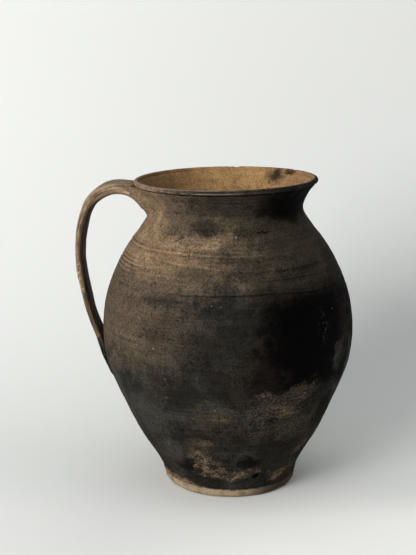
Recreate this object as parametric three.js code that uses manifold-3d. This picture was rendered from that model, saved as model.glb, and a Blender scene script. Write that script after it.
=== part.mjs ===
// A thrown and smoke-fired clay jug: flat foot, round belly, flared mouth with a rolled lip, and one
// pulled strap handle that is luted under the lip and on the belly.
// Millimetres, +Z up, origin at the middle of the foot's underside, the handle towards -X.

import * as THREE from "three";
import { mergeVertices } from "three/addons/utils/BufferGeometryUtils.js";
import Module from "manifold-3d";

// The foot is a flat pad of clay, rounded under where it stands.
const FOOT_RADIUS = 58.3;
const FOOT_HEIGHT = 8.5;
const FOOT_ROUNDING = 4;

// Outer radius of the wall at each station, and the station's rise above the one before it.
const HEEL_RADIUS = 59.2;
const LOW_BELLY_RADIUS = 64.2;
const LOW_BELLY_RISE = 13.5;
const BELLY_FLARE_RADIUS = 80.9;
const BELLY_FLARE_RISE = 28;
const MID_BELLY_RADIUS = 94.4;
const MID_BELLY_RISE = 30;
const HIGH_BELLY_RADIUS = 106.1;
const HIGH_BELLY_RISE = 30;
const WIDEST_RADIUS = 109.5;
const WIDEST_RISE = 28;
const SHOULDER_TURN_RADIUS = 106.9;
const SHOULDER_TURN_RISE = 27;
const SHOULDER_JOINT_RADIUS = 99.4;
const SHOULDER_JOINT_RISE = 23;
const HIGH_SHOULDER_RADIUS = 88.1;
const HIGH_SHOULDER_RISE = 22;
const NECK_JOINT_RADIUS = 75;
const NECK_JOINT_RISE = 18;
const WAIST_RADIUS = 66.5;
const WAIST_RISE = 15;
const MOUTH_FLARE_RADIUS = 70.6;
const MOUTH_FLARE_RISE = 13;
const LIP_RADIUS = 79.1;
const LIP_RISE = 11.5;

// The lip is rolled over to a bead, with a fine groove below its band.
const LIP_ROLL = 2.3;
const LIP_BAND = 5;
const LIP_GROOVE_WIDTH = 1.6;
const LIP_GROOVE_DEPTH = 0.7;

// Wall thickness, measured square to the surface.
const FOOT_WALL = 8;
const BELLY_WALL = 6;
const NECK_WALL = 5;

// Lengths of wall meet in bevelled joints. The bevel climbs this far from the outside to the inside.
const SCARF_RISE = 6;

// Pieces that touch keep this film of slip between them.
const SLIP_FILM = 0.3;

// The pot dried a little out of true: everything above the foot leans towards the handle.
const LEAN_DEGREES = 1;

// Strap handle: width, thickness, and the shallow channel that the thumb leaves in its outer face.
// The power of the taper is above 1, because a pulled strap thins quickest near its root.
const STRAP_ROOT_WIDTH = 32;
const STRAP_TAIL_WIDTH = 23;
const STRAP_ROOT_THICKNESS = 12.9;
const STRAP_TAIL_THICKNESS = 6.2;
const STRAP_CHANNEL_DEPTH = 1.1;
const STRAP_EDGE_ROUNDING = 0.62;
const STRAP_TAPER_POWER = 1.3;

// Centre line of the strap, as offsets from the parts of the pot that it springs from and lands on.
const ROOT_DROP = 8.6;
const ROOT_SINK = 13;
const ROOT_SAG = 1;
const ARCH_REACH = 19.5;
const ARCH_RISE = 3.5;
const BEND_REACH = 38.3;
const BEND_DROP = 9.4;
const GRIP_STANDOFF = 18.5;
const GRIP_DROP = 48.2;
const FALL_STANDOFF = 14.6;
const FALL_DROP = 97.2;
const LANDING_DROP = 131.2;
const TIP_DROP = 159.2;
const TIP_SINK = 1.2;

// Luting clay smeared round both ends of the strap. The powers say how hollow a flare is.
const COLLAR_EDGE = 0.9;
const UPPER_COLLAR_LENGTH = 11;
const UPPER_COLLAR_SIDE = 16;
const UPPER_COLLAR_UNDER = 30;
const UPPER_COLLAR_OVER = 3;
const UPPER_COLLAR_HOLLOW = 3;
const UPPER_COLLAR_UNDER_HOLLOW = 3.4;
const LOWER_COLLAR_SIDE = 6;
const LOWER_COLLAR_RUNOUT = 11;
const LOWER_COLLAR_RUNOUT_FALL = 3.6;
const LOWER_COLLAR_HOLLOW = 2;

// Fineness of the facets.
const SEGMENTS = 72;
const BELLY_RING_STEP = 12;
const SHOULDER_RING_STEP = 7;
const NECK_RING_STEP = 4.2;
const STRAP_STEP = 9;
const COLLAR_STEP = 4.5;
const SECTION_SIDES = 20;
const FOOT_ROUNDING_STEPS = 4;

// Corners closer together than this are one corner.
const MERGE_DISTANCE = 1e-4;

// Step of a search along the strap.
const SEARCH_STEP = 0.25;

const wasm = await Module();
wasm.setup();

// Outline of the outer face

const outline = [{ radius: HEEL_RADIUS, height: 0 }];

function addStation(radius, rise) {
  const height = outline.at(-1).height + rise;
  outline.push({ radius, height });
  return height;
}

addStation(HEEL_RADIUS, FOOT_HEIGHT);
addStation(LOW_BELLY_RADIUS, LOW_BELLY_RISE);
addStation(BELLY_FLARE_RADIUS, BELLY_FLARE_RISE);
addStation(MID_BELLY_RADIUS, MID_BELLY_RISE);
addStation(HIGH_BELLY_RADIUS, HIGH_BELLY_RISE);
const widestHeight = addStation(WIDEST_RADIUS, WIDEST_RISE);
addStation(SHOULDER_TURN_RADIUS, SHOULDER_TURN_RISE);
const shoulderJoint = addStation(SHOULDER_JOINT_RADIUS, SHOULDER_JOINT_RISE);
addStation(HIGH_SHOULDER_RADIUS, HIGH_SHOULDER_RISE);
const neckJoint = addStation(NECK_JOINT_RADIUS, NECK_JOINT_RISE);
const waistHeight = addStation(WAIST_RADIUS, WAIST_RISE);
addStation(MOUTH_FLARE_RADIUS, MOUTH_FLARE_RISE);
const lipHeight = addStation(LIP_RADIUS, LIP_RISE);

// The steepness of the outline at a station is that of the line between its neighbours.
function stationSlope(index) {
  const below = outline[Math.max(index - 1, 0)];
  const above = outline[Math.min(index + 1, outline.length - 1)];
  return (above.radius - below.radius) / (above.height - below.height);
}

function radiusAt(height) {
  let index = 0;
  while (index < outline.length - 2 && outline[index + 1].height < height) {
    index += 1;
  }
  const low = outline[index];
  const high = outline[index + 1];
  const span = high.height - low.height;
  const t = (height - low.height) / span;
  const fromLow = low.radius + stationSlope(index) * span * t;
  const fromHigh = high.radius - stationSlope(index + 1) * span * (1 - t);
  const lowShare = (1 - t) * (1 - t);
  const highShare = t * t;
  return lowShare * (fromLow + 2 * t * low.radius) + highShare * (fromHigh + 2 * (1 - t) * high.radius);
}

function thicknessAt(height) {
  if (height < widestHeight) {
    return THREE.MathUtils.mapLinear(height, 0, widestHeight, FOOT_WALL, BELLY_WALL);
  }
  if (height < waistHeight) {
    return THREE.MathUtils.mapLinear(height, widestHeight, waistHeight, BELLY_WALL, NECK_WALL);
  }
  return THREE.MathUtils.mapLinear(height, waistHeight, lipHeight, NECK_WALL, 2 * LIP_ROLL);
}

// A point at a depth below the outer face, as (radius, height). A negative depth stands proud of it.
function wallPoint(height, depth) {
  const probe = 0.5;
  const slope = (radiusAt(height + probe) - radiusAt(height - probe)) / (2 * probe);
  const normal = new THREE.Vector2(1, -slope).normalize();
  return new THREE.Vector2(radiusAt(height), height).addScaledVector(normal, -depth);
}

function heightsBetween(from, to, step) {
  const count = Math.ceil((to - from) / step);
  return Array.from({ length: count + 1 }, (_, i) => THREE.MathUtils.lerp(from, to, i / count));
}

const outerFace = (heights) => heights.map((height) => wallPoint(height, 0));
const innerFace = (heights) => heights.map((height) => wallPoint(height, thicknessAt(height)));

// How much higher the upper length of wall starts, so that the film in the bevelled joint is even.
function scarfGap(joint) {
  return (SLIP_FILM * Math.hypot(SCARF_RISE, thicknessAt(joint))) / thicknessAt(joint);
}

const shoulderStart = shoulderJoint + scarfGap(shoulderJoint);

// Heights of the neck's outer face, from its joint up to the groove below the lip.
const neckStart = neckJoint + scarfGap(neckJoint);
const lipGroove = lipHeight - LIP_BAND;
const neckHeights = heightsBetween(neckStart, lipGroove - LIP_GROOVE_WIDTH / 2, NECK_RING_STEP);

// The rolled lip, from its underside over the crest to the inside of the mouth.
function lipBead(grow) {
  const centre = new THREE.Vector2(LIP_RADIUS - LIP_ROLL, lipHeight);
  const beadRadius = LIP_ROLL + grow;
  const turns = [-35, -5, 25, 55, 85, 115, 150, 190];
  return turns.map((degrees) => {
    const angle = THREE.MathUtils.degToRad(degrees);
    const reach = new THREE.Vector2(Math.cos(angle), Math.sin(angle));
    return reach.multiplyScalar(beadRadius).add(centre);
  });
}

// Solids

function revolve(profile) {
  const geometry = new THREE.LatheGeometry(profile, SEGMENTS);
  geometry.rotateX(Math.PI / 2);
  return geometry;
}

function closedRing(profile) {
  return revolve([...profile, profile[0].clone()]);
}

// A closed mesh as a solid for joining and cutting. Triangles that shrink to a line at the axis go.
function toSolid(geometry) {
  const bare = geometry.clone();
  bare.deleteAttribute("normal");
  bare.deleteAttribute("uv");
  const merged = mergeVertices(bare, MERGE_DISTANCE);
  const corners = merged.index.array;
  const triangles = [];
  for (let i = 0; i < corners.length; i += 3) {
    const [a, b, c] = corners.slice(i, i + 3);
    if (a !== b && b !== c && c !== a) {
      triangles.push(a, b, c);
    }
  }
  return new wasm.Manifold(new wasm.Mesh({
    numProp: 3,
    vertProperties: new Float32Array(merged.attributes.position.array),
    triVerts: new Uint32Array(triangles),
  }));
}

function toGeometry(solid) {
  const mesh = solid.getMesh();
  const geometry = new THREE.BufferGeometry();
  geometry.setAttribute("position", new THREE.BufferAttribute(mesh.vertProperties, 3));
  geometry.setIndex(new THREE.BufferAttribute(mesh.triVerts, 1));
  geometry.computeVertexNormals();
  return geometry;
}

// Foot and walls

const lean = new THREE.Matrix4().makeRotationY(-THREE.MathUtils.degToRad(LEAN_DEGREES));

function baseDisc() {
  const side = new THREE.Shape();
  side.moveTo(0, 0);
  side.lineTo(FOOT_RADIUS - FOOT_ROUNDING, 0);
  side.quadraticCurveTo(FOOT_RADIUS, 0, FOOT_RADIUS, FOOT_ROUNDING);
  side.lineTo(FOOT_RADIUS, FOOT_HEIGHT);
  side.lineTo(0, FOOT_HEIGHT);
  return revolve(side.getPoints(FOOT_ROUNDING_STEPS));
}

// The belly's lower end is cut level, a film of slip above the disc, however much the wall leans.
function bellyWall() {
  const outside = outerFace(heightsBetween(0, shoulderJoint, BELLY_RING_STEP));
  const inside = innerFace(heightsBetween(0, shoulderJoint + SCARF_RISE, BELLY_RING_STEP));
  const wall = toSolid(closedRing([...outside, ...inside.reverse()]));
  const spread = 4 * WIDEST_RADIUS;
  const below = new THREE.BoxGeometry(spread, spread, spread);
  below.translate(0, 0, FOOT_HEIGHT + SLIP_FILM - spread / 2);
  below.applyMatrix4(lean.clone().invert());
  return toGeometry(wall.subtract(toSolid(below)));
}

function shoulderWall() {
  const outside = outerFace(heightsBetween(shoulderStart, neckJoint, SHOULDER_RING_STEP));
  const inside = innerFace(
    heightsBetween(shoulderStart + SCARF_RISE, neckJoint + SCARF_RISE, SHOULDER_RING_STEP),
  );
  return closedRing([...outside, ...inside.reverse()]);
}

function neckAndRim() {
  return closedRing([
    ...outerFace(neckHeights),
    wallPoint(lipGroove, LIP_GROOVE_DEPTH),
    wallPoint(lipGroove + LIP_GROOVE_WIDTH / 2, 0),
    ...lipBead(0),
    ...innerFace(heightsBetween(neckStart + SCARF_RISE, lipGroove, NECK_RING_STEP)).reverse(),
  ]);
}

// The whole pot, filled in and grown by a film of slip, to cut what is stuck on it.
function potCutter() {
  const grown = (heights) => heights.map((height) => wallPoint(height, -SLIP_FILM));
  const bead = lipBead(SLIP_FILM);
  const crest = Math.max(...bead.map((point) => point.y));
  const profile = [
    new THREE.Vector2(0, 0),
    ...grown(heightsBetween(0, shoulderJoint, BELLY_RING_STEP)),
    ...grown(heightsBetween(shoulderStart, neckJoint, SHOULDER_RING_STEP)),
    ...grown(neckHeights),
    ...bead.filter((point) => point.x >= LIP_RADIUS - LIP_ROLL),
    new THREE.Vector2(0, crest),
  ];
  return toSolid(revolve(profile));
}

// Strap handle

// Points of the centre line as reach from the pot's axis, towards the handle, and height.
// The grip hangs clear of the pot's widest part. From its fall to its tip the strap keeps its distance
// to the wall beside it.
const widestReach = Math.max(...outline.map((station) => station.radius));
const rootHeight = lipHeight - ROOT_DROP;
const fallHeight = rootHeight - FALL_DROP;
const landingHeight = rootHeight - LANDING_DROP;
const tipHeight = rootHeight - TIP_DROP;
const tailHeight = (landingHeight + tipHeight) / 2;
const landingLift = STRAP_TAIL_THICKNESS / 2;
const strapPoints = [
  [radiusAt(rootHeight) - ROOT_SINK, rootHeight - ROOT_SAG],
  [radiusAt(rootHeight) + SLIP_FILM, rootHeight],
  [LIP_RADIUS + ARCH_REACH, rootHeight + ARCH_RISE],
  [LIP_RADIUS + BEND_REACH, rootHeight - BEND_DROP],
  [widestReach + GRIP_STANDOFF, rootHeight - GRIP_DROP],
  [radiusAt(fallHeight) + FALL_STANDOFF, fallHeight],
  [radiusAt(landingHeight) + landingLift, landingHeight],
  [radiusAt(tailHeight) + (landingLift - TIP_SINK) / 2, tailHeight],
  [radiusAt(tipHeight) - TIP_SINK, tipHeight],
];
const strapLine = new THREE.CatmullRomCurve3(
  strapPoints.map(([reach, height]) => new THREE.Vector3(-reach, 0, height)),
  false,
  "centripetal",
);
const strapLength = strapLine.getLength();

// Place, direction and size of the strap at a distance along it. Past its tip it runs straight on.
function strapAt(distance) {
  const share = THREE.MathUtils.clamp(distance / strapLength, 0, 1);
  const along = strapLine.getTangentAt(share);
  const place = strapLine.getPointAt(share).addScaledVector(along, distance - share * strapLength);
  const outward = new THREE.Vector3(along.z, 0, -along.x);
  const taper = Math.pow(1 - share, STRAP_TAPER_POWER);
  const width = THREE.MathUtils.lerp(STRAP_TAIL_WIDTH, STRAP_ROOT_WIDTH, taper);
  const thickness = THREE.MathUtils.lerp(STRAP_TAIL_THICKNESS, STRAP_ROOT_THICKNESS, taper);
  return { place, outward, width, thickness };
}

// Section of the strap in half widths and half thicknesses: a rounded bar, hollowed on its outer face.
function strapSection(channelShare) {
  const soften = (value) => Math.sign(value) * Math.pow(Math.abs(value), STRAP_EDGE_ROUNDING);
  const points = Array.from({ length: SECTION_SIDES }, (_, i) => {
    const angle = (2 * Math.PI * (i + 0.5)) / SECTION_SIDES;
    const across = soften(Math.cos(angle));
    const through = soften(Math.sin(angle));
    const channel = through > 0 ? channelShare * Math.cos((across * Math.PI) / 2) ** 2 : 0;
    return new THREE.Vector2(across, through - channel);
  });
  return new THREE.Shape(points);
}

// A bar along the strap's centre line. growth gives the extra half width and thickness at a distance.
function strapBar(from, to, step, growth) {
  const channelShare = (2 * STRAP_CHANNEL_DEPTH) / STRAP_ROOT_THICKNESS;
  const steps = Math.ceil((to - from) / step);
  const bar = new THREE.ExtrudeGeometry(strapSection(channelShare), { depth: 1, steps, bevelEnabled: false });
  const positions = bar.attributes.position;
  for (let i = 0; i < positions.count; i += 1) {
    const distance = THREE.MathUtils.lerp(from, to, positions.getZ(i));
    const { place, outward, width, thickness } = strapAt(distance);
    const { side, under, over } = growth(distance);
    const through = positions.getY(i);
    const across = positions.getX(i) * (width / 2 + side);
    const lift = through * (thickness / 2 + (through > 0 ? over : under));
    const point = place.addScaledVector(outward, lift);
    positions.setXYZ(i, point.x, point.y - across, point.z);
  }
  return toSolid(bar);
}

const pot = potCutter();

function handleStrap() {
  const exact = () => ({ side: 0, under: 0, over: 0 });
  return toGeometry(strapBar(0, strapLength, STRAP_STEP, exact).subtract(pot));
}

// The strap with a film of slip round it, which leaves its seat in the luting.
function strapCutter() {
  const film = () => ({ side: SLIP_FILM, under: SLIP_FILM, over: SLIP_FILM });
  return strapBar(-SLIP_FILM, strapLength + SLIP_FILM, STRAP_STEP, film);
}

// A collar of clay round the strap, with the strap's seat and the pot cut out of it.
function luting(from, to, growth) {
  const clay = strapBar(from, to, COLLAR_STEP, growth);
  return toGeometry(clay.subtract(strapCutter()).subtract(pot));
}

// The upper collar flares out in a hollow curve as it nears the neck, most of all under the strap.
function upperLuting() {
  const to = ROOT_SINK + UPPER_COLLAR_LENGTH;
  return luting(0, to, (distance) => {
    const flare = (1 - distance / to) ** UPPER_COLLAR_HOLLOW;
    const underFlare = (1 - distance / to) ** UPPER_COLLAR_UNDER_HOLLOW;
    return {
      side: THREE.MathUtils.lerp(COLLAR_EDGE, UPPER_COLLAR_SIDE, flare),
      under: THREE.MathUtils.lerp(COLLAR_EDGE, UPPER_COLLAR_UNDER, underFlare),
      over: THREE.MathUtils.lerp(COLLAR_EDGE, UPPER_COLLAR_OVER, flare),
    };
  });
}

// Where on the strap, going back from its tip, its underside stands this far off the belly.
function standoffDistance(gap) {
  let distance = strapLength;
  let standoff = 0;
  while (standoff < gap) {
    distance -= SEARCH_STEP;
    const { place, thickness } = strapAt(distance);
    standoff = -place.x - thickness / 2 - radiusAt(place.z);
  }
  return distance;
}

// The lower collar starts where its edge just fits between the strap and the belly. It spreads sideways
// down to the strap's tip, and runs out below it into the belly.
function lowerLuting() {
  const from = standoffDistance(COLLAR_EDGE + SLIP_FILM);
  const to = strapLength + LOWER_COLLAR_RUNOUT;
  return luting(from, to, (distance) => {
    const spread = ((distance - from) / (to - from)) ** LOWER_COLLAR_HOLLOW;
    const pastTip = Math.max(0, distance - strapLength) / LOWER_COLLAR_RUNOUT;
    const side = THREE.MathUtils.lerp(COLLAR_EDGE, LOWER_COLLAR_SIDE, spread);
    return { side, under: side, over: COLLAR_EDGE - pastTip * LOWER_COLLAR_RUNOUT_FALL };
  });
}

// Assembly

const smokedClay = new THREE.MeshStandardMaterial({ color: 0x4a4239, roughness: 0.78, metalness: 0 });
const shoulderClay = new THREE.MeshStandardMaterial({ color: 0x6b5844, roughness: 0.8, metalness: 0 });
const bareClay = new THREE.MeshStandardMaterial({ color: 0x8c7862, roughness: 0.9, metalness: 0 });
const handleClay = new THREE.MeshStandardMaterial({ color: 0x745c45, roughness: 0.75, metalness: 0 });

function piece(name, geometry, material) {
  const mesh = new THREE.Mesh(geometry, material);
  mesh.name = name;
  return mesh;
}

const leaning = new THREE.Group();
leaning.applyMatrix4(lean);
leaning.add(piece("belly_wall", bellyWall(), smokedClay));
leaning.add(piece("shoulder_wall", shoulderWall(), shoulderClay));
leaning.add(piece("neck_and_rim", neckAndRim(), smokedClay));
leaning.add(piece("handle_strap", handleStrap(), handleClay));
leaning.add(piece("upper_handle_luting", upperLuting(), handleClay));
leaning.add(piece("lower_handle_luting", lowerLuting(), handleClay));

const jug = new THREE.Group();
jug.add(piece("base_disc", baseDisc(), bareClay));
jug.add(leaning);

export default jug;
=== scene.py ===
# %% [markdown]
# # A smoke-fired clay jug
#
# This lesson builds the looks of a round clay jug with one strap handle, in
# Blender. The real jug was thrown on a wheel from coarse red-brown clay, and
# blackened by smoke while it was fired. Its parts are the foot, the thrown
# wall in three lengths, and the handle with the clay that fixes it.
#
# Every length below is in millimetres on the real pot, and is turned into
# metres where Blender needs it. The pot stands on the floor at the origin and
# its handle points towards -X. A bearing is the angle round the pot as seen
# from above: 0 faces the viewer, 90 is the right side, -90 is the handle.

import math

import bpy
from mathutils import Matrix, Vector, noise


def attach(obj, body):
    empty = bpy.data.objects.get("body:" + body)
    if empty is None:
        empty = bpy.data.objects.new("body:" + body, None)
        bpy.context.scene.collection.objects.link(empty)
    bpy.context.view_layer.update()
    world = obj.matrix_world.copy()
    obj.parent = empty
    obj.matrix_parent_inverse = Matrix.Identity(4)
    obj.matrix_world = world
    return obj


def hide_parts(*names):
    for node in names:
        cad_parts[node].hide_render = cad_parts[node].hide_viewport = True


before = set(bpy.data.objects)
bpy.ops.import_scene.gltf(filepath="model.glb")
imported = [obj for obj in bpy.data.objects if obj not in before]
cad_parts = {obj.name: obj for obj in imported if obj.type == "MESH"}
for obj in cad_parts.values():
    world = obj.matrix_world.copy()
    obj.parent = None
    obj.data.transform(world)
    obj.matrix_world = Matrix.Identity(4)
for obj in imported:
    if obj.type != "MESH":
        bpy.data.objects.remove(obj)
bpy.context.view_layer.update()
print("solids:", sorted(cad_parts))

# %% [markdown]
# ## Small helpers
#
# Blender's operators act on whatever is selected. So the first helper leaves
# one object selected, and the next ones wrap the few steps that come back all
# the time: going in and out of edit mode, applying a modifier, and setting an
# object's place into its mesh.

# %% Helpers for selecting and applying
MM = 0.001


def only(piece):
    """Leave piece as the one selected and active object."""
    bpy.ops.object.select_all(action="DESELECT")
    piece.select_set(True)
    bpy.context.view_layer.objects.active = piece


def edit(everything=True):
    """Enter edit mode, with everything selected or with what was selected before."""
    bpy.ops.object.mode_set(mode="EDIT")
    if everything:
        bpy.ops.mesh.select_all(action="SELECT")


def leave():
    """Leave edit mode."""
    bpy.ops.object.mode_set(mode="OBJECT")


def named(name):
    """Name the object that was just made, and return it."""
    piece = bpy.context.object
    piece.name = name
    piece.data.name = name
    return piece


def set_place(piece):
    """Put the object's place, turn and scale into its mesh."""
    only(piece)
    bpy.ops.object.transform_apply(location=True, rotation=True, scale=True)


def finish_modifiers(piece):
    """Apply every modifier of the piece, in order."""
    only(piece)
    for modifier in list(piece.modifiers):
        bpy.ops.object.modifier_apply(modifier=modifier.name)


def shade(piece, sharp_degrees=40):
    only(piece)
    bpy.ops.object.shade_smooth_by_angle(angle=math.radians(sharp_degrees))
    print(piece.name, "has", len(piece.data.polygons), "faces")


# %% [markdown]
# ## The shape of the thrown wall
#
# A thrown wall is round, so its whole shape is one line: how far the outer
# face stands from the axis at each height. The potter's hands leave that line
# smooth, so a curve runs through a few measured stations instead of straight
# steps. The wall is thick at the foot and thin at the mouth.

# %% Outline of the wall
STATIONS = [
    (59.2, 0), (59.2, 8.5), (64.2, 22), (80.9, 50), (94.4, 80), (106.1, 110), (109.5, 138),
    (106.9, 165), (99.4, 188), (88.1, 210), (75, 228), (66.5, 243), (70.6, 256), (79.1, 267.5),
]
FOOT_RADIUS = 58.3
FOOT_HEIGHT = 8.5
WIDEST_HEIGHT = 138
SHOULDER_JOINT = 188
NECK_JOINT = 228
WAIST_HEIGHT = 243
LIP_HEIGHT = 267.5
LIP_RADIUS = 79.1
LIP_ROLL = 2.3
LIP_BAND = 3.4
FOOT_WALL = 8
BELLY_WALL = 6
NECK_WALL = 5
LEAN = math.radians(1)


def lean_of_line(index):
    """Steepness of the outline at a station, from its neighbours."""
    radius_below, below = STATIONS[max(index - 1, 0)]
    radius_above, above = STATIONS[min(index + 1, len(STATIONS) - 1)]
    return (radius_above - radius_below) / (above - below)


def reach_at(height):
    """Distance of the outer face from the axis at a height."""
    index = 0
    while index < len(STATIONS) - 2 and STATIONS[index + 1][1] < height:
        index += 1
    low_radius, low = STATIONS[index]
    high_radius, high = STATIONS[index + 1]
    span = high - low
    t = (height - low) / span
    from_low = low_radius + lean_of_line(index) * span * t
    from_high = high_radius - lean_of_line(index + 1) * span * (1 - t)
    return ((1 - t) ** 2 * (from_low + 2 * t * low_radius)
            + t ** 2 * (from_high + 2 * (1 - t) * high_radius))


def between(low, high, share):
    return low + (high - low) * share


def wall_at(height):
    """Thickness of the wall at a height."""
    if height < WIDEST_HEIGHT:
        return between(FOOT_WALL, BELLY_WALL, height / WIDEST_HEIGHT)
    if height < WAIST_HEIGHT:
        share = (height - WIDEST_HEIGHT) / (WAIST_HEIGHT - WIDEST_HEIGHT)
        return between(BELLY_WALL, NECK_WALL, share)
    return between(NECK_WALL, 2 * LIP_ROLL, (height - WAIST_HEIGHT) / (LIP_HEIGHT - WAIST_HEIGHT))


def wall_point(height, depth):
    """Point (reach, height) at a depth square into the wall."""
    slope = reach_at(height + 0.5) - reach_at(height - 0.5)
    length = math.hypot(1, slope)
    return reach_at(height) - depth / length, height + depth * slope / length


print("widest:", round(2 * reach_at(WIDEST_HEIGHT)), "mm, mouth:", 2 * LIP_RADIUS, "mm")

# %% [markdown]
# ## Throwing the wall
#
# The potter raises the wall from the foot, rolls the lip over, and smooths the
# inside on the way down. The model is made the same way: one point starts at
# the foot and is extruded along that path, and the Screw modifier turns the
# path round the axis, as the wheel does. Screw is chosen over the Spin tool
# because it makes the same round wall in far less time. Points lie close
# together where lines are scored into the shoulder, and further apart where
# the wall is plain. A small groove runs under the rolled lip.


# %% The path of the wall's section
def steps(low, high, spacing):
    count = max(1, round(abs(high - low) / spacing))
    return [between(low, high, i / count) for i in range(count + 1)]


def arc(radius, height, bend, start, end, step):
    """Points round an edge: its outermost reach is radius, its middle stands at height."""
    turns = [math.radians(degrees) for degrees in range(start, end, step)]
    return [(radius - bend + bend * math.cos(turn), height + bend * math.sin(turn)) for turn in turns]


SCORED_LOW, SCORED_HIGH = 176, 233
GROOVE_HEIGHT = LIP_HEIGHT - LIP_BAND
outside = steps(0, SCORED_LOW, 2.2)
outside += steps(SCORED_LOW, SCORED_HIGH, 0.6)[1:]
outside += steps(SCORED_HIGH, GROOVE_HEIGHT, 1)[1:]
section = [wall_point(height, 0) for height in outside]
section += [wall_point(GROOVE_HEIGHT + rise, depth) for rise, depth in ((0.5, 0.4), (1.1, 0.3), (1.7, 0))]
section += arc(LIP_RADIUS, LIP_HEIGHT - 0.12, LIP_ROLL, -35, 200, 12)
inside = steps(LIP_HEIGHT - 3, 236, 1.5) + steps(232, 0, 4)
section += [wall_point(height, wall_at(height)) for height in inside]
print("the section has", len(section), "points")


# %% Extrude one point along the section, and turn it into the wall
def start_point(x, z):
    """A mesh of one point, as an object at the origin, left in edit mode."""
    bpy.ops.mesh.primitive_plane_add(size=MM, location=(x, 0, z))
    bpy.ops.object.transform_apply(location=True)
    edit()
    bpy.ops.mesh.merge(type="CENTER")


def draw_line(points):
    """Extrude the one point through the (reach, height) points."""
    start_point(points[0][0] * MM, points[0][1] * MM)
    for (x0, z0), (x1, z1) in zip(points, points[1:]):
        move = ((x1 - x0) * MM, 0, (z1 - z0) * MM)
        bpy.ops.mesh.extrude_region_move(TRANSFORM_OT_translate={"value": move})
    leave()


def turned(points, name, segments):
    """A round body from a section that is turned round the upright axis."""
    draw_line(points)
    piece = named(name)
    screw = piece.modifiers.new("wheel", "SCREW")
    screw.steps = screw.render_steps = segments
    screw.use_merge_vertices = True
    screw.merge_threshold = 0.01 * MM
    finish_modifiers(piece)
    edit()
    bpy.ops.mesh.normals_make_consistent(inside=False)
    leave()
    return piece


WALL_SEGMENTS = 360
wall = turned(section, "thrown_wall", WALL_SEGMENTS)
print("thrown wall:", len(wall.data.polygons), "faces")


# %% [markdown]
# ## Telling the inside from the outside
#
# The inside of the mouth is clean tan clay and the outside is smoked. So each
# point of the wall notes how deep it lies in it, before anything is moved, and
# the finish reads that note later. It could read the side a face looks to
# instead, but the lip's roll looks every way.


# %% Note how deep each point lies in the wall
def note_depth(piece):
    """Write 0 on the outer face and 1 on the inner face, as a value on each point."""
    depths = piece.data.attributes.new("depth_in_wall", "FLOAT", "POINT")
    for vertex, depth in zip(piece.data.vertices, depths.data):
        height = min(vertex.co.z / MM, LIP_HEIGHT)
        reach = math.hypot(vertex.co.x, vertex.co.y) / MM
        depth.value = min(max((reach_at(height) - reach) / wall_at(height), 0), 1)


note_depth(wall)
print("depth noted on", len(wall.data.vertices), "points")

# %% [markdown]
# ## Marks of the hand and the tool
#
# The wheel leaves level rings, the potter scored a few lines into the damp
# shoulder, and years of use chipped the lip. Each mark is a formula of bearing
# and height that paints a vertex group, and a Displace modifier presses the
# clay in by that group. Real relief is chosen over a picture of lines, because
# it also catches the light in the side views.


# %% Press marks into a piece
LEAST_WEIGHT = 0.004
SKIN_BAND = 2.5


def bearing_of(x, y):
    return math.degrees(math.atan2(x, -y))


def round_place(co):
    """Bearing, height and reach of a point on the pot."""
    return bearing_of(co.x, co.y), co.z / MM, math.hypot(co.x, co.y) / MM


def press(piece, name, depth, mark, direction="NORMAL", place=round_place):
    """Press the surface in by depth, as far as mark says from 0 to 1 for each point's place.

    The weights also stay on the points as NAME_mark, for a finish to read.
    """
    weights = [kept(mark(*place(vertex.co))) for vertex in piece.data.vertices]
    group = piece.vertex_groups.new(name=name)
    for index, weight in enumerate(weights):
        if weight > LEAST_WEIGHT:
            group.add([index], weight, "REPLACE")
    trace = piece.data.attributes.new(name + "_mark", "FLOAT", "POINT")
    trace.data.foreach_set("value", weights)
    displace = piece.modifiers.new(name, "DISPLACE")
    displace.vertex_group = name
    displace.direction = direction
    displace.mid_level = 0
    displace.strength = -depth * MM
    finish_modifiers(piece)
    print(name, "touches", sum(weight > LEAST_WEIGHT for weight in weights), "points")


def kept(value):
    """The value, held between 0 and 1."""
    return min(max(value, 0), 1)


def ridge(offset, width):
    """1 on the line, falling to 0 at width to either side."""
    share = abs(offset) / width
    return 0 if share >= 1 else (1 - share * share) ** 2


def fade(value, start, end):
    """0 at start, 1 at end, smooth between. The two may be either way round."""
    share = kept((value - start) / (end - start))
    return share * share * (3 - 2 * share)


def on_outside(height, reach):
    return reach > reach_at(min(height, LIP_HEIGHT)) - SKIN_BAND


# %% Lines scored into the shoulder
HIGH_LINE, RISING_LINE, LOW_LINE = 219, 204.8, 188.7
COMB_GROOVES = [(209.8, 0.6), (207, 1), (204.3, 1), (201.2, 1), (198, 0.7), (191.6, 0.6), (189.2, 0.6)]


def rising_line(bearing):
    """Height of the faint double line that climbs towards the handle."""
    away = min(max(32 - bearing, 0), 110)
    return RISING_LINE + 11.5 * (away / 98) ** 1.6


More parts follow.
